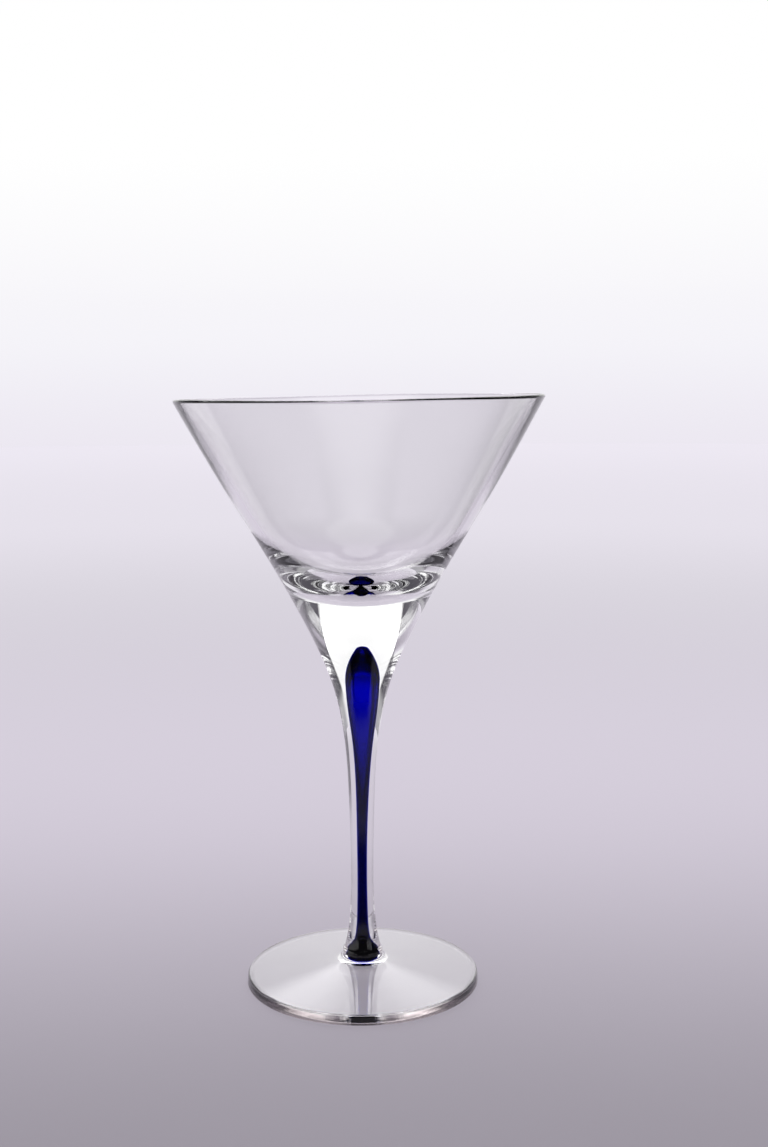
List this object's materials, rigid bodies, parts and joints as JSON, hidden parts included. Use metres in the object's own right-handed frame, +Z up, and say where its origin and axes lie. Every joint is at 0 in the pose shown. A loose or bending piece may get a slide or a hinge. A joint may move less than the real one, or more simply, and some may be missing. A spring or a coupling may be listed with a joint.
{
  "type": "martini glass",
  "caption": "Stemmed cocktail glass with a wide conical bowl, a solid tapering base, a cobalt drop with an air tear cast in the stem, and a round clear foot.",
  "frame": {"origin": "centre of the foot's base, on the surface that the glass stands on", "axes": "+Z up along the glass's axis of revolution, from the foot to the rim"},
  "size_m": [0.113, 0.113, 0.185],
  "materials": {
    "clear_glass": "colourless crystal, fire-polished, with a fine ground ring under the foot",
    "cobalt_glass": "deep cobalt blue glass, sealed inside clear glass"
  },
  "bodies": {
    "root": {"bowl": "clear_glass", "stem": "clear_glass", "foot": "clear_glass", "cobalt_drop": "cobalt_glass"}
  },
  "joints": []
}
